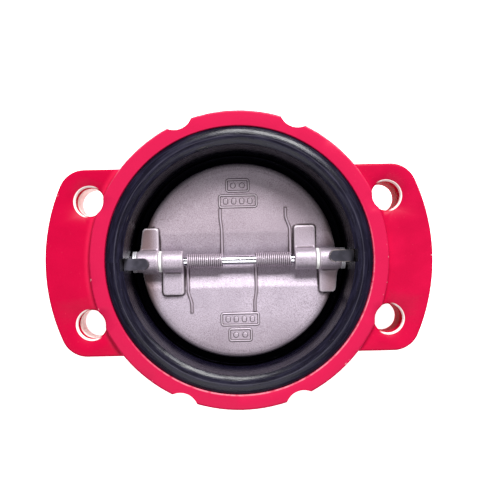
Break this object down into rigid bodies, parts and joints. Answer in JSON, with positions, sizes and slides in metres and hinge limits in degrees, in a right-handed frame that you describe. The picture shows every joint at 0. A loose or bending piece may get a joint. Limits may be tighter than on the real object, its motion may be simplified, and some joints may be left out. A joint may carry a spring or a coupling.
{
  "type": "dual plate wafer check valve",
  "caption": "Rubber-lined wafer check valve with ear lugs and two sprung half-moon plates that swing open downstream on a common shaft.",
  "frame": {"origin": "centre of the inlet face, on the valve's axis", "axes": "+Z along the valve's axis out of the outlet (flow direction), hinge shaft along X, +Y towards the cast flow arrow on the rim"},
  "size_m": [0.29, 0.225, 0.076],
  "materials": {
    "red_epoxy": "crimson epoxy coat over a sand casting",
    "black_rubber": "moulded blue-black rubber",
    "cast_stainless": "blasted investment-cast stainless steel",
    "polished_steel": "ground and polished stainless rod",
    "spring_steel": "drawn stainless spring wire",
    "washer_steel": "bright turned stainless steel",
    "white_plastic": "white PTFE",
    "black_plastic": "moulded black plastic with worn edges"
  },
  "bodies": {
    "root": {"valve_body": "red_epoxy", "rubber_liner": "black_rubber", "hinge_shaft": "polished_steel", "left_spacer_washer": "white_plastic", "left_inner_end_washer": "washer_steel", "left_outer_end_washer": "washer_steel", "right_spacer_washer": "white_plastic", "right_inner_end_washer": "washer_steel", "right_outer_end_washer": "washer_steel", "left_retainer_block": "black_plastic", "right_retainer_block": "black_plastic", "left_spring": "spring_steel", "right_spring": "spring_steel"},
    "upper_plate_swing": {"upper_plate": "cast_stainless"},
    "lower_plate_swing": {"lower_plate": "cast_stainless"}
  },
  "joints": [
    {"name": "upper_plate_hinge", "type": "hinge", "parent": "root", "child": "upper_plate_swing", "pos_m": [0, 0, 0.041], "axis": [1, 0, 0], "range_deg": [0, 80], "stiffness_Nm_per_rad": 0.3, "springref_deg": -51.57, "deforming": ["left_spring", "right_spring"]},
    {"name": "lower_plate_hinge", "type": "hinge", "parent": "root", "child": "lower_plate_swing", "pos_m": [0, 0, 0.041], "axis": [-1, 0, 0], "range_deg": [0, 80], "stiffness_Nm_per_rad": 0.3, "springref_deg": -51.57, "deforming": ["left_spring", "right_spring"]}
  ]
}
